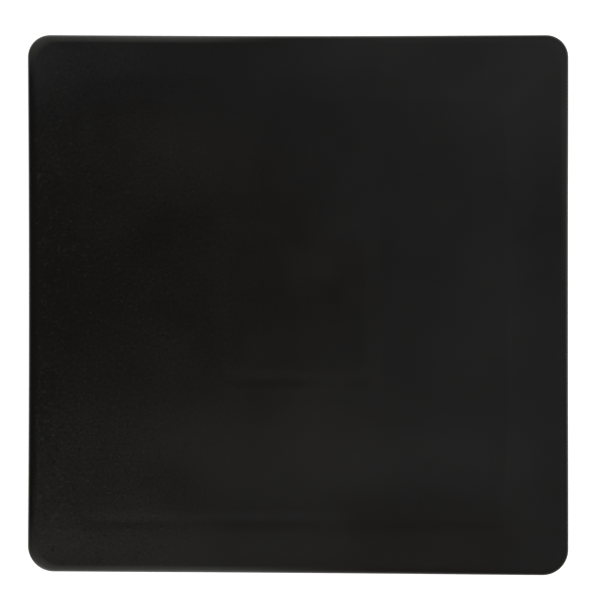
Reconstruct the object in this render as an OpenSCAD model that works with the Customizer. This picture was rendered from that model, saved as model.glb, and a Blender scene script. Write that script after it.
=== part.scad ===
// Square stoneware dinner plate, lying as it is used: +Z is up, +X is to the right and -Y is the
// diner's side. The origin is on the table, under the middle of the plate.
// A slab of clay has its edge lifted a little, and most at the corners. Two square foot rings are
// joined to its underside: the outer one carries it and the small one keeps the middle from sagging.
// The glaze covers everything but the feet's faces, which are wiped and ground, so it lies in
// three separate fields: over the face, between the rings and inside the centre ring.
// Every surface follows lines that run around the plate. A line is [half width, corner radius,
// height], and a skin through a row of lines makes each solid.

/* [Slab] */
// Width over the glazed edge, the same both ways
plate_w = 270; // [200:1:340]
// Radius of the two back corners of the edge, seen from above
corner_r = 11.2; // [8:0.1:24]
// Radius of the two front corners of the edge
front_corner_r = 13; // [8:0.1:24]
// Thickness of the clay
slab_t = 5.6; // [4:0.1:8]
// Width of the rounded edge, seen from above
edge_w = 4.6; // [2:0.1:7]
// Rise of the edge above the well, in the middle of a side
side_rise = 1.5; // [0.5:0.1:6]
// Rise of the edge above the well, at the corners
corner_rise = 2.7; // [0.5:0.1:9]
// How late the rise steepens: 1 is straight, and more is hollow
rise_power = 1.6; // [1.2:0.1:2.4]
// How closely the extra rise gathers at the corners
corner_power = 4; // [2:0.5:8]

/* [Outline made by hand] */
// How far the front left corner is drawn back
corner_draw = 2.1; // [0:0.1:4]
// How far the back and left sides bow inwards
side_bow = 0.4; // [0:0.1:1.5]

/* [Foot rings] */
// Distance of the outer ring's centre line in from the edge
foot_inset = 26.5; // [22:0.5:40]
// Corner radius of the outer ring's centre line
foot_corner_r = 9; // [7:0.5:24]
// Width between the centre lines of the centre ring
centre_span = 76; // [40:1:110]
// Corner radius of the centre ring's centre line
centre_corner_r = 8; // [7:0.5:16]
// Height of both rings
foot_h = 4; // [3:0.1:8]
// Width of a ring where it joins the slab
root_w = 7; // [6:0.1:9]
// Width of a ring where its toe starts to round
toe_w = 5.6; // [4:0.1:6]
// Height at which the toe starts to round
toe_h = 0.9; // [0.5:0.05:1]
// Depth ground off the round toe to leave its flat face
ground_off = 0.45; // [0.2:0.05:0.8]
// Flat strip of the underside between the outer ring and the rise
shoulder_w = 2; // [1.5:0.1:5]

/* [Ridges in the face] */
// Width of the faint ridge that each ring leaves in the face above it
ridge_w = 8; // [2:0.5:8]
// Height of those ridges
ridge_h = 0.1; // [0.05:0.01:0.4]

/* [Glaze] */
// Thickness of the glaze
glaze_t = 0.4; // [0.2:0.05:0.45]
// Height of the bare clay left around the feet
wipe_h = 1.2; // [1.1:0.05:1.8]
// Radius of the glaze pooled where a ring meets the slab
pool_r = 0.8; // [0.3:0.05:1]

/* [Hidden] */

corner_steps = 8;
side_steps = 6;
rise_steps = 4;
edge_steps = 8;
toe_steps = 8;
pool_steps = 3;
quarter = 90;
line_points = 4 * (corner_steps + side_steps);

plate_half = plate_w / 2;
foot_half = plate_half - foot_inset;
well_half = foot_half + root_w / 2 + shoulder_w;
crest_half = plate_half - edge_w;
well_z = foot_h + slab_t;
outer_ring = [foot_half, foot_corner_r];
centre_ring = [centre_span / 2, centre_corner_r];

// Share of the rise at a half width: 0 over the well and 1 at the edge
function rise_share(half) = max(0, (half - well_half) / (plate_half - well_half));

// Share of the corner at a point: 0 in the middle of a side and 1 on a diagonal
function corner_share(x, y) = pow(abs(2 * x * y) / (x * x + y * y), corner_power);

// Height that a point is lifted by the rise, which is whole at the crest of the edge
function lift(x, y, half) =
    (side_rise + (corner_rise - side_rise) * corner_share(x, y))
    * pow(rise_share(half) / rise_share(crest_half), rise_power);

// A point turned about the plate's axis by whole quarter turns
function turned(x, y, k) =
    let (a = quarter * k) [x * cos(a) - y * sin(a), x * sin(a) + y * cos(a)];

// Radius of a line's corner, by quarter turns from the back right one: towards the edge, the two
// front corners go over to their own
function corner_at(half, r, k) =
    r + (k % 4 > 1 ? (front_corner_r - corner_r) * rise_share(half) : 0);

// Rounded square of a half width and corner radius, anticlockwise from the start of the back right arc
function rounded_square(half, r) = [
    for (k = [0:3])
        let (start_r = corner_at(half, r, k), end_r = corner_at(half, r, k + 1))
        each concat(
            [for (i = [0:corner_steps]) let (a = quarter * i / corner_steps)
                turned(half - start_r + start_r * cos(a), half - start_r + start_r * sin(a), k)],
            [for (i = [1:side_steps - 1]) let (share = i / side_steps)
                turned((half - start_r) * (1 - share) - (half - end_r) * share, half, k)])
];

// A point of the rounded square, moved as the handmade outline is: the front left corner is drawn
// back and the back and left sides bow in, fully at the edge and not at all over the well
function handmade(x, y, half) =
    let (s = rise_share(half), u = x / half, v = y / half)
    [x + s * side_bow * (1 - v * v) * pow(min(0, u), 2),
     y - s * side_bow * (1 - u * u) * pow(max(0, v), 2) + s * corner_draw * (1 - u) * (1 - v) / 4];

// The points of a line
function line_at(line) = [
    for (p = rounded_square(line[0], line[1]))
        let (q = handmade(p.x, p.y, line[0])) [q.x, q.y, line[2] + lift(q.x, q.y, line[0])]
];

// Solid through a row of lines. A loop joins its last line to its first, and any other solid is
// closed by a flat fan at both ends, about a point on the plate's axis. A patch is split by its own
// two lines and not by their order, so two solids that share lines share the same triangles.
function is_inner(a, b) = a[0] < b[0] || (a[0] == b[0] && a[2] < b[2]);

module skin(lines, loop = false) {
    n = line_points;
    rows = len(lines);
    last = rows - 1;
    patches = [
        for (i = [0:loop ? last : last - 1], j = [0:n - 1])
            let (next = (i + 1) % rows, k = (j + 1) % n,
                 a = i * n + j, b = i * n + k, c = next * n + k, d = next * n + j)
            each is_inner(lines[i], lines[next]) ? [[a, b, c], [a, c, d]] : [[a, b, d], [b, c, d]]
    ];
    fans = [
        for (j = [0:n - 1])
            let (k = (j + 1) % n)
            each [[rows * n, k, j], [rows * n + 1, last * n + j, last * n + k]]
    ];
    middles = [[0, 0, lines[0][2]], [0, 0, lines[last][2]]];
    polyhedron(
        concat([for (line = lines) each line_at(line)], loop ? [] : middles),
        concat(patches, loop ? [] : fans),
        convexity = 6);
}

function reversed(list) = [for (i = [len(list) - 1:-1:0]) list[i]];

// Corner radius of a line outside the well, which goes over from the foot ring's to the edge's
function band_r(half) =
    let (well_r = foot_corner_r + well_half - foot_half) well_r + (corner_r - well_r) * rise_share(half);

// A line at an offset from a ring's centre line
function beside(ring, x, z) = [ring[0] + x, ring[1] + x, z];

// Ridge in the face above a ring
function ridge(ring, z) = [
    beside(ring, -ridge_w / 2, z),
    beside(ring, 0, z + ridge_h),
    beside(ring, ridge_w / 2, z)
];

// Half widths from the well to the crest of the edge, without the crest
rise_halves = [for (i = [0:rise_steps - 1]) well_half + (crest_half - well_half) * i / rise_steps];

// Face, from the middle to the edge, at a height over the clay
function face(cover) = concat(
    ridge(centre_ring, well_z + cover),
    ridge(outer_ring, well_z + cover),
    [for (half = rise_halves) [half, band_r(half), well_z + cover]]);

// Rounded edge, from its crest to its underside, which is half an ellipse
function edge(cover) = [
    for (i = [0:edge_steps])
        let (a = quarter - 2 * quarter * i / edge_steps,
             half = crest_half + (edge_w - glaze_t + cover) * cos(a))
        [half, band_r(half), foot_h + slab_t / 2 + (slab_t / 2 + cover) * sin(a)]
];

// Underside of the rise, from the edge to the well
function skirt(cover) = [for (half = reversed(rise_halves)) [half, band_r(half), foot_h - cover]];

// Half width of a foot ring at a height over its toe
function wall(z) = toe_w / 2 + (root_w - toe_w) / 2 * (z - toe_h) / (foot_h - toe_h);

// A ring's wall that the glaze covers, from the wiped edge up to the slab; side is 1 outside, -1 inside
function glazed_wall(ring, side) = [
    beside(ring, side * wall(wipe_h), wipe_h),
    beside(ring, side * wall(foot_h), foot_h)
];

// Surface of the glaze on that wall, from its pool under the slab down to the wiped edge
function wall_glaze(ring, side) = concat(
    [for (i = [0:pool_steps])
        let (a = quarter * i / pool_steps, z = foot_h - glaze_t - pool_r * (1 - cos(a)))
        beside(ring, side * (wall(z) + glaze_t + pool_r * (1 - sin(a))), z)],
    [beside(ring, side * (wall(wipe_h + glaze_t) + glaze_t), wipe_h + glaze_t)]);

// Section of a foot ring: tapered walls over a round toe, before its face is ground
function ring_section(ring) = concat(
    [beside(ring, -wall(foot_h), foot_h), beside(ring, wall(foot_h), foot_h)],
    [for (i = [0:toe_steps]) let (a = 2 * quarter * i / toe_steps)
        beside(ring, toe_w / 2 * cos(a), toe_h - (toe_h + ground_off) * sin(a))]);

module foot_ring(ring) {
    difference() {
        skin(ring_section(ring), loop = true);
        // The grinding, level with the table
        translate([0, 0, -plate_half]) cube(plate_w, center = true);
    }
}

module clay_body() {
    color("#a8987f") skin(concat(face(0), edge(0), skirt(0)));
}

module outer_foot_ring() {
    color("#a8987f") foot_ring(outer_ring);
}

module centre_foot_ring() {
    color("#a8987f") foot_ring(centre_ring);
}

// The face, the edge, the underside of the rise and the outer wall of the outer ring
module face_glaze() {
    color("#1d1c1b")
        skin(concat(
            face(glaze_t), edge(glaze_t), skirt(glaze_t),
            wall_glaze(outer_ring, 1), glazed_wall(outer_ring, 1),
            reversed(concat(face(0), edge(0), skirt(0)))));
}

// The field between the two rings, and the walls that face it
module underside_glaze() {
    color("#1d1c1b")
        skin(concat(
            glazed_wall(centre_ring, 1), reversed(glazed_wall(outer_ring, -1)),
            reversed(wall_glaze(outer_ring, -1)), wall_glaze(centre_ring, 1)), loop = true);
}

// The field inside the centre ring, and its inner wall
module centre_glaze() {
    color("#1d1c1b")
        skin(concat(
            reversed(glazed_wall(centre_ring, -1)), reversed(wall_glaze(centre_ring, -1))));
}

clay_body();
outer_foot_ring();
centre_foot_ring();
face_glaze();
underside_glaze();
centre_glaze();
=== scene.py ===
import math

import bmesh
import bpy
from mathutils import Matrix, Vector


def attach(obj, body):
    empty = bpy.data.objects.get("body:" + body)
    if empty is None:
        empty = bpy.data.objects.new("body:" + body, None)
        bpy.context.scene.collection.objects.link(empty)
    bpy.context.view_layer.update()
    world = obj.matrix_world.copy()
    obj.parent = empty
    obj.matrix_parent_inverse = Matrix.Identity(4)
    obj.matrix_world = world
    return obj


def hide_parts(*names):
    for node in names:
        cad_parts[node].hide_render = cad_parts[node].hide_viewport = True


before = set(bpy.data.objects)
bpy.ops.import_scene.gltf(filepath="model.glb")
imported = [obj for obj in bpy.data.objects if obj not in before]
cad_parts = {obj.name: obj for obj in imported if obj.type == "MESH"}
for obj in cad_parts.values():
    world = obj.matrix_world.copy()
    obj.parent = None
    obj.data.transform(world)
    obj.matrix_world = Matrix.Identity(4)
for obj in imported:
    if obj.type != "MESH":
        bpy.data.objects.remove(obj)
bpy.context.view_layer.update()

# The plate's sizes, in metres
PLATE_HALF = 0.135
CORNER_R = 0.0112
FRONT_CORNER_R = 0.013
SLAB_T = 0.0056
EDGE_W = 0.0046
SIDE_RISE = 0.0015
CORNER_RISE = 0.0027
RISE_POWER = 1.6
CORNER_POWER = 4
CORNER_DRAW = 0.0021
SIDE_BOW = 0.0004
FOOT_INSET = 0.0265
FOOT_CORNER_R = 0.009
CENTRE_HALF = 0.038
CENTRE_CORNER_R = 0.008
FOOT_H = 0.004
ROOT_W = 0.007
TOE_W = 0.0056
TOE_H = 0.0009
GROUND_OFF = 0.00045
SHOULDER_W = 0.002
GLAZE_T = 0.0004
WIPE_H = 0.0012
POOL_R = 0.0008

# The ridge that each ring leaves in the face above it, and its share of that height in the middle
# of the left and right sides
RIDGE_W = 0.008
RIDGE_H = 0.00007
SIDE_RIDGE_SHARE = 0.4

FOOT_HALF = PLATE_HALF - FOOT_INSET
WELL_HALF = FOOT_HALF + ROOT_W / 2 + SHOULDER_W
CREST_HALF = PLATE_HALF - EDGE_W
WELL_Z = FOOT_H + SLAB_T
OUTER_RING = (FOOT_HALF, FOOT_CORNER_R)
CENTRE_RING = (CENTRE_HALF, CENTRE_CORNER_R)
QUARTER = math.pi / 2

# How finely a line round the plate is cut
CORNER_CUTS = 14
SIDE_CUTS = 27
LINE_POINTS = 4 * (CORNER_CUTS + 1 + SIDE_CUTS)

# How many steps the lines take over each form, and the angles of the glaze's rounded lower rim
MIDDLE_STEPS = 12
FIELD_STEPS = 16
RIDGE_STEPS = 12
RISE_STEPS = 10
EDGE_STEPS = 18
SKIRT_STEPS = 6
POOL_STEPS = 5
TOE_STEPS = 5
ROOF_STEPS = 4
RIM_ANGLES = (0, 30, 60, 90)

JOIN_GAP = 1e-7
SMOOTH_ANGLE = 40

# Lighter and darker patches painted into the glaze's colour, partly its own uneven tone and partly
# painted sheen and painted shade: middle x and y, half widths along x and y, and amount
TONE_AND_PAINTED_SHEEN_SPOTS = (
    (0.124, 0.126, 0.100, 0.085, 0.24),
    (-0.120, -0.140, 0.150, 0.075, 0.38),
    (-0.070, -0.085, 0.130, 0.050, 0.22),
    (-0.125, 0.135, 0.070, 0.050, 0.26),
    (0.020, -0.070, 0.130, 0.050, 0.20),
    (0.030, 0.132, 0.070, 0.030, 0.16),
    (-0.058, 0.080, 0.045, 0.040, 0.09),
    (0.006, 0.020, 0.026, 0.022, 0.06),
    (0.012, -0.010, 0.070, 0.060, -0.08),
    (0.085, 0.128, 0.050, 0.035, -0.14),
    (-0.061, -0.090, 0.035, 0.022, -0.12),
    (-0.003, 0.040, 0.040, 0.030, -0.09),
    (0.070, -0.052, 0.090, 0.030, -0.08),
    (0.000, 0.098, 0.040, 0.025, -0.04),
    # Painted sheen along the front and back of the lifted edge
    (0.000, -0.119, 0.050, 0.012, 0.06),
    (-0.060, 0.123, 0.090, 0.016, 0.03),
    (0.122, 0.040, 0.030, 0.110, -0.10),
    (-0.080, -0.058, 0.060, 0.030, 0.09),
    (-0.050, -0.127, 0.110, 0.020, 0.06),
    (0.075, -0.115, 0.080, 0.045, -0.11),
    (-0.060, 0.020, 0.090, 0.070, -0.06),
    (-0.128, 0.010, 0.040, 0.130, -0.11),
    (0.020, 0.060, 0.100, 0.060, -0.06),
    (0.080, 0.000, 0.080, 0.140, -0.05),
    # Painted shade along the left edge
    (-0.1345, 0.000, 0.006, 0.200, -0.90),
    # Painted sheen along the front of the lifted edge
    (-0.060, -0.1220, 0.130, 0.022, 0.10),
    # Painted shade along the front right rim
    (0.085, -0.1345, 0.075, 0.006, -0.15),
    # Painted sheen and painted shade in lines along the ridges over the foot rings
    (-0.080, -0.1055, 0.050, 0.0040, 0.12),
    (-0.020, -0.1055, 0.050, 0.0040, 0.09),
    (-0.088, -0.1100, 0.035, 0.0045, -0.15),
    (-0.020, -0.1100, 0.055, 0.0045, -0.09),
    (0.070, -0.1100, 0.060, 0.0050, -0.07),
    (-0.020, -0.0335, 0.030, 0.0040, 0.06),
    (-0.010, -0.0395, 0.045, 0.0045, -0.12),
    (0.032, -0.0395, 0.010, 0.0050, -0.10),
    (-0.080, 0.1115, 0.045, 0.0045, -0.05),
    (-0.060, 0.033, 0.035, 0.030, -0.08),
    (-0.120, -0.118, 0.026, 0.022, 0.12),
    (0.108, 0.103, 0.032, 0.030, -0.10),
    (-0.080, -0.034, 0.070, 0.040, 0.09),
    (-0.078, 0.080, 0.048, 0.036, 0.07),
    (-0.112, -0.060, 0.040, 0.030, 0.06),
    (0.052, -0.122, 0.045, 0.020, 0.07),
    (0.000, 0.000, 0.300, 0.300, 0.01),
)

# Where the glaze is warmer
WARM_SPOTS = (
    (-0.085, 0.030, 0.150, 0.105, 1.1),
    (-0.110, -0.120, 0.120, 0.080, 1.0),
    (-0.020, -0.060, 0.120, 0.060, 0.5),
    (0.045, -0.125, 0.110, 0.050, 0.7),
    (-0.075, -0.053, 0.120, 0.050, 0.5),
    (0.015, 0.000, 0.060, 0.050, 0.35),
)

# Where the edge is painted lighter: partly the glaze running thin over it so that its colour breaks, and
# partly a painted highlight on the rim, strongest at the back left, the front left and the left corners
THIN_GLAZE_AND_HIGHLIGHT_SPOTS = (
    (-0.070, -0.1330, 0.120, 0.040, 0.95),
    (-0.075, 0.1340, 0.085, 0.030, 1.00),
    (0.060, 0.1340, 0.080, 0.020, 0.15),
    (0.1340, 0.060, 0.020, 0.100, 0.18),
    (-0.126, 0.130, 0.026, 0.020, 0.42),
    (-0.124, -0.132, 0.026, 0.014, 0.32),
)

# Where the olive line at the rim of the glaze fades, which paints shade along the left edge
OLIVE_SPOTS = (
    (-0.1350, 0.010, 0.006, 0.150, -1.0),
)

# Where the glaze is flecked
FLECK_SPOTS = (
    (-0.120, 0.020, 0.170, 0.190, 0.52),
    (-0.110, -0.102, 0.110, 0.090, 0.42),
)

# The glaze at its darkest and lightest, where it breaks over the edge with a painted highlight, and at
# its rim
WARM_DARK = (0.0046, 0.0030, 0.0020, 1)
WARM_LIGHT = (0.0218, 0.0196, 0.0174, 1)
COOL_DARK = (0.0035, 0.0034, 0.0034, 1)
COOL_LIGHT = (0.0211, 0.0210, 0.0210, 1)
BROKEN_GLAZE_AND_HIGHLIGHT = (0.0540, 0.0545, 0.0485, 1)
OLIVE_RIM = (0.0240, 0.0245, 0.0105, 1)

PALE_CLAY = (0.42, 0.34, 0.25, 1)
DARK_CLAY = (0.26, 0.20, 0.14, 1)

# The glaze's tone before its patches, a painted gradient of light which rises from a place at the left
# to one at the right
TONE_LEFT_X = -0.12
TONE_RIGHT_X = 0.10
LEFT_TONE = 0.105
RIGHT_TONE = 0.42

# How fine the patterns in the glaze and in the clay are
CLOUD_SCALE = 16.0
MOTTLE_SCALE = 70.0
PIT_SCALE = 110.0
HUE_SCALE = 120.0
FLECK_SCALE = 700.0
SPECKLE_SCALE = 900.0
CLAY_CLOUD_SCALE = 45.0
CLAY_GRAIN_SCALE = 700.0

# How rough the glaze and the clay are, and how strongly the glaze shines
GLAZE_ROUGHNESS = (0.32, 0.35)
GLAZE_SHINE = 0.35
CLAY_ROUGHNESS = (0.72, 0.92)

# Where the photograph shows the plate, in its own pixels
PHOTO_PX = 600
PLATE_SPAN_PX = 539.8
PLATE_MIDDLE_PX = (298.1, 305.2)
CAMERA_RISE = 1.5

FLOOR_SIZE = 12
FLOOR_GAP = 0.00002


# Lines round the plate

def rise_share(half):
    """Share of the rise at a half width: 0 over the well and 1 at the edge."""
    return max(0.0, (half - WELL_HALF) / (PLATE_HALF - WELL_HALF))


def band_radius(half):
    """Corner radius outside the well, which goes over from the foot ring's to the edge's."""
    well_radius = FOOT_CORNER_R + WELL_HALF - FOOT_HALF
    return well_radius + (CORNER_R - well_radius) * rise_share(half)


def band(half, z):
    """A line outside the well."""
    return half, band_radius(half), z


def beside(ring, x, z):
    """A line at an offset from a ring's centre line."""
    return ring[0] + x, ring[1] + x, z


def corner_radius(half, radius, turn):
    """Radius of a line's corner after a number of quarter turns from the back right one.
    The third and fourth corners are the front ones."""
    return radius + (FRONT_CORNER_R - CORNER_R) * rise_share(half) * (turn % 4 > 1)


def around(half, radius, step):
    """A point of a rounded square, by steps anticlockwise from the start of the back right corner."""
    turn, step = divmod(step, LINE_POINTS // 4)
    start = corner_radius(half, radius, turn)
    end = corner_radius(half, radius, turn + 1)
    if step <= CORNER_CUTS:
        a = QUARTER * step / CORNER_CUTS
        x = half - start + start * math.cos(a)
        y = half - start + start * math.sin(a)
    else:
        share = (step - CORNER_CUTS) / (SIDE_CUTS + 1)
        x = (half - start) * (1 - share) - (half - end) * share
        y = half
    for _ in range(turn):
        x, y = -y, x
    return x, y


def new_piece(name, line):
    """A mesh in edit mode with one line: a plane, its corners bevelled and its sides cut.
    Its points keep the number of their line and of their step around it."""
    half, radius, z = line
    bpy.ops.object.select_all(action="DESELECT")
    bpy.ops.mesh.primitive_plane_add(size=2 * half, location=(0, 0, z))
    piece = bpy.context.object
    piece.name = name
    bpy.ops.object.transform_apply(location=True, rotation=False, scale=False)
    mesh = piece.data
    mesh.attributes.new("line", "INT", "POINT")
    mesh.attributes.new("step", "INT", "POINT")
    bpy.ops.object.mode_set(mode="EDIT")
    bpy.ops.mesh.select_mode(type="EDGE")
    bpy.ops.mesh.select_all(action="SELECT")
    bpy.ops.mesh.bevel(affect="VERTICES", offset=radius, segments=CORNER_CUTS)
    work = bmesh.from_edit_mesh(mesh)
    for face in work.faces:
        face.select_set(False)
    for edge in work.edges:
        edge.select_set(edge.calc_length() > half / 2)
    bmesh.update_edit_mesh(mesh)
    bpy.ops.mesh.subdivide(number_cuts=SIDE_CUTS)
    bpy.ops.mesh.select_all(action="SELECT")
    work = bmesh.from_edit_mesh(mesh)
    step = work.verts.layers.int["step"]
    points = [Vector((*around(half, radius, i), z)) for i in range(LINE_POINTS)]
    for vert in work.verts:
        vert[step] = min(range(LINE_POINTS), key=lambda i: (points[i] - vert.co).length)
    bmesh.update_edit_mesh(mesh)
    return piece


def skin(name, lines, loop=False, cap_first=False, cap_last=False):
    """A piece drawn out line by line.
    A loop joins its last line to its first, and a cap closes a line."""
    piece = new_piece(name, lines[0])
    mesh = piece.data
    if not cap_first:
        bpy.ops.mesh.delete(type="ONLY_FACE")
    bpy.ops.mesh.select_all(action="SELECT")
    for number, line in enumerate(lines[1:] + lines[:1] * loop, 1):
        bpy.ops.mesh.extrude_edges_move()
        work = bmesh.from_edit_mesh(mesh)
        layers = work.verts.layers.int
        for vert in work.verts:
            if vert.select:
                vert[layers["line"]] = number
                vert.co = (*around(line[0], line[1], vert[layers["step"]]), line[2])
        bmesh.update_edit_mesh(mesh)
    if cap_last:
        bpy.ops.mesh.edge_face_add()
    bpy.ops.mesh.select_all(action="SELECT")
    if loop:
        bpy.ops.mesh.remove_doubles(threshold=JOIN_GAP)
    bpy.ops.mesh.normals_make_consistent(inside=False)
    bpy.ops.object.mode_set(mode="OBJECT")
    return piece


# The plate's form

def corner_share(x, y):
    """Share of the corner at a point: 0 in the middle of a side and 1 on a diagonal."""
    return (abs(2 * x * y) / (x * x + y * y)) ** CORNER_POWER


def lip_share(half):
    """Share of the way over the rounded edge at a half width.
    It is 0 at the edge's crest and 1 at its outermost line."""
    return max(0.0, (half - CREST_HALF) / EDGE_W)


def shape_by_hand(piece, halves):
    """Lifts a piece's edge and moves its outline as on the handmade plate.
    Each point goes by its line's half width."""
    tags = piece.data.attributes["line"].data
    for vert, tag in zip(piece.data.vertices, tags):
        half = halves[tag.value]
        share = rise_share(half)
        if share == 0:
            continue
        x, y, z = vert.co
        u, v = x / half, y / half
        x += share * SIDE_BOW * (1 - v * v) * min(0, u) ** 2
        y += share * (CORNER_DRAW * (1 - u) * (1 - v) / 4 - SIDE_BOW * (1 - u * u) * max(0, v) ** 2)
        rise = SIDE_RISE + (CORNER_RISE - SIDE_RISE) * corner_share(x, y)
        vert.co = x, y, z + rise * (share / rise_share(CREST_HALF)) ** RISE_POWER


def inner_lines(half, radius, z, count):
    """Lines from near the plate's axis out to a line, without the line itself."""
    return [(half * i / count, radius * i / count, z) for i in range(1, count)]


def between(a, b, count):
    """Lines between two lines, without either."""
    shares = [i / count for i in range(1, count)]
    return [tuple(p + (q - p) * share for p, q in zip(a, b)) for share in shares]


def ridge_lines(ring, z):
    """Lines across the ridge over a ring, from the inside out."""
    return [beside(ring, RIDGE_W * (i / RIDGE_STEPS - 0.5), z) for i in range(RIDGE_STEPS + 1)]


def face_lines(cover):
    """Lines of the face from its middle to the edge, at a height over the clay."""
    top = WELL_Z + cover
    centre = ridge_lines(CENTRE_RING, top)
    outer = ridge_lines(OUTER_RING, top)
    lines = inner_lines(centre[0][0], centre[0][1], top, MIDDLE_STEPS) + centre
    lines += between(centre[-1], outer[0], FIELD_STEPS) + outer
    for i in range(RISE_STEPS):
        lines.append(band(WELL_HALF + (CREST_HALF - WELL_HALF) * i / RISE_STEPS, top))
    return lines


def edge_lines(cover):
    """Lines over the rounded edge, from its crest to its underside, which is half an ellipse."""
    lines = []
    for i in range(EDGE_STEPS + 1):
        a = QUARTER - 2 * QUARTER * i / EDGE_STEPS
        half = CREST_HALF + (EDGE_W - GLAZE_T + cover) * math.cos(a)
        lines.append(band(half, FOOT_H + SLAB_T / 2 + (SLAB_T / 2 + cover) * math.sin(a)))
    return lines


def skirt_lines(cover):
    """Lines of the underside of the rise, from the edge in to the well."""
    way = WELL_HALF - CREST_HALF
    return [
        band(CREST_HALF + way * i / SKIRT_STEPS, FOOT_H - cover) for i in range(1, SKIRT_STEPS + 1)
    ]


def wall(z):
    """Half width of a foot ring at a height over its toe."""
    return TOE_W / 2 + (ROOT_W - TOE_W) / 2 * (z - TOE_H) / (FOOT_H - TOE_H)


def wall_glaze_lines(ring, side):
    """Surface of the glaze on a ring's wall, from its pool under the slab down to the wiped edge."""
    lines = []
    for i in range(POOL_STEPS + 1):
        a = QUARTER * i / POOL_STEPS
        z = FOOT_H - GLAZE_T - POOL_R * (1 - math.cos(a))
        lines.append(beside(ring, side * (wall(z) + GLAZE_T + POOL_R * (1 - math.sin(a))), z))
    for angle in RIM_ANGLES:
        a = math.radians(angle)
        z = WIPE_H + GLAZE_T * (1 - math.sin(a))
        lines.append(beside(ring, side * (wall(z) + GLAZE_T * math.cos(a)), z))
    return lines


def glazed_wall_lines(ring, side):
    """Lines of the part of a ring's wall that the glaze lies on."""
    return [beside(ring, side * wall(WIPE_H), WIPE_H), beside(ring, side * wall(FOOT_H), FOOT_H)]


def bell(t):
    """A smooth bump: 1 at 0, and 0 from 1 on."""
    return 0.5 + 0.5 * math.cos(math.pi * min(1.0, abs(t)))


def square_distance(x, y, ring):
    """How far a point lies outside a ring's centre line."""
    half, radius = ring
    dx, dy = max(0.0, abs(x) - half + radius), max(0.0, abs(y) - half + radius)
    if dx > 0 and dy > 0:
        return math.hypot(dx, dy) - radius
    return max(abs(x), abs(y)) - half


def relief(x, y):
    """Height of the ridges in the face at a point."""
    distances = [square_distance(x, y, ring) for ring in (OUTER_RING, CENTRE_RING)]
    full = (abs(y) / max(abs(x), abs(y), RIDGE_W)) ** CORNER_POWER
    height = RIDGE_H * (SIDE_RIDGE_SHARE + (1 - SIDE_RIDGE_SHARE) * full)
    return height * sum(bell(2 * distance / RIDGE_W) for distance in distances)


# Pieces

def slab_lines(cover):
    """Lines over the face and the edge and in under the rise, at a height over the clay."""
    return face_lines(cover) + edge_lines(cover) + skirt_lines(cover)


def shaped_skin(name, lines):
    """A piece closed at both ends, with the form that hand and kiln gave the face and the edge."""
    piece = skin(name, lines, cap_first=True, cap_last=True)
    shape_by_hand(piece, [line[0] for line in lines])
    lip = piece.data.attributes.new("lip", "FLOAT", "POINT").data
    for vert, tag in zip(piece.data.vertices, piece.data.attributes["line"].data):
        half, _, z = lines[tag.value]
        if z > WELL_Z - GLAZE_T:
            vert.co.z += relief(vert.co.x, vert.co.y)
        lip[vert.index].value = lip_share(half)
    return piece


def make_clay_slab():
    return shaped_skin("clay_slab", slab_lines(0))


def make_face_glaze():
    lines = slab_lines(GLAZE_T) + wall_glaze_lines(OUTER_RING, 1)[:-1] + glazed_wall_lines(OUTER_RING, 1)
    return shaped_skin("face_glaze_skin", lines + slab_lines(0)[::-1])


def make_underside_glaze():
    lines = (
        glazed_wall_lines(CENTRE_RING, 1) + glazed_wall_lines(OUTER_RING, -1)[::-1]
        + wall_glaze_lines(OUTER_RING, -1)[-2::-1] + wall_glaze_lines(CENTRE_RING, 1)[:-1]
    )
    return skin("underside_glaze_skin", lines, loop=True)


def make_centre_glaze():
    wall_lines = glazed_wall_lines(CENTRE_RING, -1)[::-1]
    surface = wall_glaze_lines(CENTRE_RING, -1)[-2::-1]
    lines = inner_lines(*wall_lines[0], ROOF_STEPS) + wall_lines + surface
    lines += inner_lines(*surface[-1], MIDDLE_STEPS)[::-1]
    return skin("centre_glaze_skin", lines, cap_first=True, cap_last=True)


def make_foot_ring(name, ring):
    """A foot ring with tapered walls and a round toe, whose lowest part is ground flat."""
    lines = [beside(ring, -wall(FOOT_H), FOOT_H), beside(ring, wall(FOOT_H), FOOT_H)]
    ground = math.asin(TOE_H / (TOE_H + GROUND_OFF))
    toe = []
    for i in range(TOE_STEPS + 1):
        a = ground * i / TOE_STEPS
        toe.append((TOE_W / 2 * math.cos(a), TOE_H - (TOE_H + GROUND_OFF) * math.sin(a)))
    lines += [beside(ring, x, z) for x, z in toe]
    lines += [beside(ring, -x, z) for x, z in reversed(toe)]
    return skin(name, lines, loop=True)


def finish_piece(piece, material, node):
    """Gives a piece its material and smooth shading, hangs it under the root body, and hides the CAD
    node that it stands for.
    """
    for name in ("line", "step"):
        piece.data.attributes.remove(piece.data.attributes[name])
    piece.data.materials.append(material)
    bpy.ops.object.select_all(action="DESELECT")
    piece.select_set(True)
    bpy.context.view_layer.objects.active = piece
    bpy.ops.object.shade_smooth_by_angle(angle=math.radians(SMOOTH_ANGLE))
    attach(piece, "root")
    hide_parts(node)


# Materials

def new_material(name):
    material = bpy.data.materials.new(name)
    material.use_nodes = True
    tree = material.node_tree
    return material, tree, tree.nodes["Principled BSDF"]


def feed(tree, socket, value):
    """Gives a socket a value or another node's output."""
    if isinstance(value, bpy.types.NodeSocket):
        tree.links.new(value, socket)
    else:
        socket.default_value = value


def add_node(tree, kind, settings=None, **inputs):
    """A node whose inputs are given by name, as a value or as another node's output."""
    node = tree.nodes.new(kind)
    for key, value in (settings or {}).items():
        setattr(node, key, value)
    for key, value in inputs.items():
        feed(tree, node.inputs[key.replace("_", " ")], value)
    return node


def noise(tree, place, scale, detail, roughness=0.55):
    settings = {"Scale": scale, "Detail": detail, "Roughness": roughness}
    return add_node(tree, "ShaderNodeTexNoise", Vector=place, **settings).outputs["Fac"]


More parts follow.
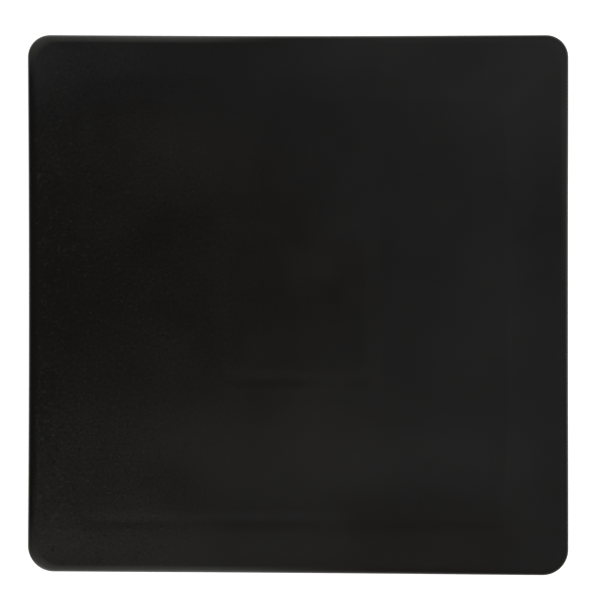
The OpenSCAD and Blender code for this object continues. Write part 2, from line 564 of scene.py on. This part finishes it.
def spread(tree, value, low, high, to_low, to_high):
    """Maps a value from one range to another, held at its ends."""
    names = ("From_Min", "From_Max", "To_Min", "To_Max")
    ends = dict(zip(names, (low, high, to_low, to_high)))
    return add_node(tree, "ShaderNodeMapRange", Value=value, **ends).outputs["Result"]


def blend_colour(tree, share, a, b):
    """Goes over from one colour to another, which are inputs 6 and 7 of the node."""
    node = tree.nodes.new("ShaderNodeMix")
    node.data_type = "RGBA"
    for socket, value in ((node.inputs[0], share), (node.inputs[6], a), (node.inputs[7], b)):
        feed(tree, socket, value)
    return node.outputs[2]


def add_up(tree, a, b, operation="ADD"):
    """The sum of two values, or what another operation makes of them."""
    node = tree.nodes.new("ShaderNodeMath")
    node.operation = operation
    for socket, value in zip(node.inputs, (a, b)):
        feed(tree, socket, value)
    return node.outputs[0]


def soft_spot(tree, place, spot):
    """A patch of the glaze with a soft outline, from its middle, half widths and amount."""
    x, y, half_x, half_y, amount = spot
    mapping = add_node(tree, "ShaderNodeMapping", {"vector_type": "TEXTURE"}, Vector=place)
    mapping.inputs["Location"].default_value = (x, y, 0)
    mapping.inputs["Scale"].default_value = (half_x, half_y, 1)
    patch = tree.nodes.new("ShaderNodeTexGradient")
    patch.gradient_type = "SPHERICAL"
    tree.links.new(mapping.outputs["Vector"], patch.inputs["Vector"])
    ease = {"interpolation_type": "SMOOTHERSTEP"}
    soft = add_node(tree, "ShaderNodeMapRange", ease, Value=patch.outputs["Fac"])
    return add_up(tree, soft.outputs["Result"], amount, "MULTIPLY")


def add_spots(tree, place, spots, value):
    """Adds patches to a value."""
    for spot in spots:
        value = add_up(tree, value, soft_spot(tree, place, spot))
    return value


def glaze_tone(tree, place, clouds, mottle, speckle, pits):
    """How light the glaze is: a painted gradient of light from left to right, patches of its own tone
    and of painted sheen and shade, clouds, mottle, grain, flecks, and pits painted darker as shade.
    """
    across = add_node(tree, "ShaderNodeSeparateXYZ", Vector=place).outputs["X"]
    # Painted light: the tone rises from darker at the left to lighter at the right
    tone = spread(tree, across, TONE_LEFT_X, TONE_RIGHT_X, LEFT_TONE, RIGHT_TONE)
    # Patches of the glaze's own tone and of painted sheen and painted shade
    tone = add_spots(tree, place, TONE_AND_PAINTED_SHEEN_SPOTS, tone)
    tone = add_up(tree, tone, spread(tree, clouds, 0.3, 0.7, -0.07, 0.07))
    tone = add_up(tree, tone, spread(tree, mottle, 0.3, 0.7, -0.03, 0.03))
    flecked = add_spots(tree, place, FLECK_SPOTS, 0.04)
    grain = spread(tree, speckle, 0.3, 0.7, -0.4, 0.4)
    fleck = noise(tree, place, FLECK_SCALE, 1.0)
    grain = add_up(tree, grain, spread(tree, fleck, 0.62, 0.74, 0, 1))
    grain = add_up(tree, grain, spread(tree, fleck, 0.26, 0.38, 1, 0), "SUBTRACT")
    tone = add_up(tree, tone, add_up(tree, grain, flecked, "MULTIPLY"))
    # The pits are painted darker, as painted shade in the hollows
    return add_up(tree, tone, add_up(tree, pits, -0.07, "MULTIPLY"))


def glaze_colour(tree, place, tone):
    """Colour of the glaze: warmer in places, broken over its edge with a painted highlight there, and
    olive at its rim, faded along the left edge as painted shade.
    """
    warm = blend_colour(tree, tone, WARM_DARK, WARM_LIGHT)
    cool = blend_colour(tree, tone, COOL_DARK, COOL_LIGHT)
    hue = noise(tree, place, HUE_SCALE, 2.0)
    warmth = add_spots(tree, place, WARM_SPOTS, spread(tree, hue, 0.35, 0.65, -0.15, 0.25))
    colour = blend_colour(tree, warmth, cool, warm)
    lip = add_node(tree, "ShaderNodeAttribute", {"attribute_name": "lip"}).outputs["Fac"]
    # Thin glaze and a painted highlight on the rim, lighter towards the outer edge
    thin_and_highlight = add_spots(tree, place, THIN_GLAZE_AND_HIGHLIGHT_SPOTS, 0.0)
    thin_and_highlight = add_up(tree, thin_and_highlight, spread(tree, lip, 0.15, 0.80, 0.0, 1.0), "MULTIPLY")
    colour = blend_colour(tree, thin_and_highlight, colour, BROKEN_GLAZE_AND_HIGHLIGHT)
    # The olive rim is faded along the left edge, as painted shade there
    olive = add_spots(tree, place, OLIVE_SPOTS, 1.0)
    olive = add_up(tree, olive, spread(tree, lip, 0.75, 0.98, 0.0, 0.8), "MULTIPLY")
    return blend_colour(tree, olive, colour, OLIVE_RIM)


def make_black_glaze():
    material, tree, shader = new_material("satin_black_glaze")
    place = add_node(tree, "ShaderNodeTexCoord").outputs["Object"]
    clouds = noise(tree, place, CLOUD_SCALE, 4.0)
    mottle = noise(tree, place, MOTTLE_SCALE, 5.0, 0.6)
    speckle = noise(tree, place, SPECKLE_SCALE, 3.0, 0.65)
    flat = {"voronoi_dimensions": "2D"}
    cells = add_node(tree, "ShaderNodeTexVoronoi", flat, Vector=place, Scale=PIT_SCALE)
    pits = spread(tree, cells.outputs["Distance"], 0.015, 0.05, 1, 0)
    colour = glaze_colour(tree, place, glaze_tone(tree, place, clouds, mottle, speckle, pits))
    tree.links.new(colour, shader.inputs["Base Color"])
    sheen = spread(tree, clouds, 0.3, 0.7, *GLAZE_ROUGHNESS)
    sheen = add_up(tree, sheen, spread(tree, mottle, 0.3, 0.7, -0.015, 0.015))
    sheen = add_up(tree, sheen, spread(tree, speckle, 0.3, 0.7, -0.02, 0.02))
    tree.links.new(sheen, shader.inputs["Roughness"])
    shader.inputs["Specular IOR Level"].default_value = GLAZE_SHINE
    surface = add_up(tree, speckle, add_up(tree, pits, 0.4, "MULTIPLY"), "SUBTRACT")
    bump = add_node(tree, "ShaderNodeBump", Height=surface, Strength=0.35, Distance=0.00008)
    tree.links.new(bump.outputs["Normal"], shader.inputs["Normal"])
    return material


def make_bare_clay():
    material, tree, shader = new_material("bare_stoneware")
    place = add_node(tree, "ShaderNodeTexCoord").outputs["Object"]
    grain = noise(tree, place, CLAY_GRAIN_SCALE, 4.0, 0.65)
    clouds = noise(tree, place, CLAY_CLOUD_SCALE, 3.0)
    share = spread(tree, clouds, 0.3, 0.7, 0.0, 0.6)
    share = add_up(tree, share, spread(tree, grain, 0.35, 0.65, 0.0, 0.4))
    tree.links.new(blend_colour(tree, share, PALE_CLAY, DARK_CLAY), shader.inputs["Base Color"])
    tree.links.new(spread(tree, grain, 0.3, 0.7, *CLAY_ROUGHNESS), shader.inputs["Roughness"])
    bump = add_node(tree, "ShaderNodeBump", Height=grain, Strength=0.5, Distance=0.00015)
    tree.links.new(bump.outputs["Normal"], shader.inputs["Normal"])
    return material


# Scene

def add_softbox(name, place, size, radiance, in_gloss=True):
    """An oblong light of a given radiance that faces the plate, and whether gloss mirrors it."""
    lamp = bpy.data.lights.new(name, "AREA")
    lamp.shape = "RECTANGLE"
    lamp.size, lamp.size_y = size
    lamp.energy = radiance * math.pi * size[0] * size[1]
    thing = bpy.data.objects.new(name, lamp)
    bpy.context.collection.objects.link(thing)
    thing.location = place
    thing.visible_glossy = in_gloss
    way = Vector((0, 0, WELL_Z)) - thing.location
    thing.rotation_euler = way.to_track_quat("-Z", "Y").to_euler()


def add_camera():
    """The camera, straight above, which shows the plate where the photograph does."""
    span = 2 * PLATE_HALF * PHOTO_PX / PLATE_SPAN_PX
    pixel = span / PHOTO_PX
    camera = bpy.data.cameras.new("camera")
    camera.sensor_width = 36
    camera.lens = camera.sensor_width * CAMERA_RISE / span
    camera.clip_end = 100
    thing = bpy.data.objects.new("camera", camera)
    bpy.context.collection.objects.link(thing)
    edge_z = FOOT_H + SLAB_T / 2 + SIDE_RISE
    thing.location = (
        (PHOTO_PX / 2 - PLATE_MIDDLE_PX[0]) * pixel,
        (PLATE_MIDDLE_PX[1] - PHOTO_PX / 2) * pixel,
        edge_z + CAMERA_RISE,
    )
    bpy.context.scene.camera = thing


def add_floor():
    """A pale floor that shows white and keeps the plate's shadow."""
    bpy.ops.object.select_all(action="DESELECT")
    bpy.ops.mesh.primitive_plane_add(size=FLOOR_SIZE, location=(0, 0, -FLOOR_GAP))
    bpy.ops.object.transform_apply(location=True, rotation=False, scale=False)
    floor = bpy.context.object
    floor.name = "floor"
    material, tree, shader = new_material("pale_floor")
    shader.inputs["Base Color"].default_value = (0.8, 0.8, 0.8, 1)
    shader.inputs["Roughness"].default_value = 0.9
    shader.inputs["Emission Color"].default_value = (1, 1, 1, 1)
    rays = add_node(tree, "ShaderNodeLightPath")
    seen = add_up(tree, rays.outputs["Is Camera Ray"], rays.outputs["Is Glossy Ray"], "MAXIMUM")
    place = add_node(tree, "ShaderNodeTexCoord").outputs["Object"]
    away = add_node(tree, "ShaderNodeVectorMath", {"operation": "LENGTH"}, Vector=place).outputs["Value"]
    glow = spread(tree, away, 0.5, 1.5, 0.75, 1.0)
    tree.links.new(add_up(tree, seen, glow, "MULTIPLY"), shader.inputs["Emission Strength"])
    # From below, the floor hides neither the feet nor the light on them
    below = add_node(tree, "ShaderNodeNewGeometry").outputs["Backfacing"]
    below = add_up(tree, below, rays.outputs["Is Shadow Ray"], "MAXIMUM")
    clear = tree.nodes.new("ShaderNodeBsdfTransparent")
    mix = tree.nodes.new("ShaderNodeMixShader")
    for socket, value in zip(mix.inputs, (below, shader.outputs["BSDF"], clear.outputs["BSDF"])):
        tree.links.new(value, socket)
    tree.links.new(mix.outputs["Shader"], tree.nodes["Material Output"].inputs["Surface"])
    floor.data.materials.append(material)


def add_world():
    """A weak, even light from all round. The camera sees it as white."""
    world = bpy.data.worlds.new("studio")
    bpy.context.scene.world = world
    world.use_nodes = True
    tree = world.node_tree
    light = tree.nodes["Background"]
    light.inputs["Color"].default_value = (1, 1, 1, 1)
    rays = add_node(tree, "ShaderNodeLightPath")
    strength = spread(tree, rays.outputs["Is Camera Ray"], 0, 1, 0.10, 1.0)
    tree.links.new(strength, light.inputs["Strength"])


glaze = make_black_glaze()
clay = make_bare_clay()
finish_piece(make_clay_slab(), clay, "clay_body")
finish_piece(make_face_glaze(), glaze, "face_glaze")
finish_piece(make_underside_glaze(), glaze, "underside_glaze")
finish_piece(make_centre_glaze(), glaze, "centre_glaze")
finish_piece(make_foot_ring("outer_foot", OUTER_RING), clay, "outer_foot_ring")
finish_piece(make_foot_ring("centre_foot", CENTRE_RING), clay, "centre_foot_ring")

add_camera()
add_floor()
add_world()
add_softbox("overhead_softbox", (0.5, 0.0, 2.2), (2.4, 2.4), 2.5, in_gloss=False)
add_softbox("underside_softbox", (0.0, 0.0, -1.2), (1.2, 1.2), 2.2, in_gloss=False)
add_softbox("back_left_strip", (-0.55, 1.15, 0.22), (1.1, 0.35), 2.6)
add_softbox("front_left_strip", (-0.60, -1.15, 0.22), (1.1, 0.35), 3.4)
add_softbox("back_right_strip", (0.70, 1.10, 0.22), (1.0, 0.35), 0.8)
add_softbox("right_strip", (1.25, 0.15, 0.25), (0.9, 0.35), 1.2)

bpy.context.scene.view_settings.view_transform = "Standard"
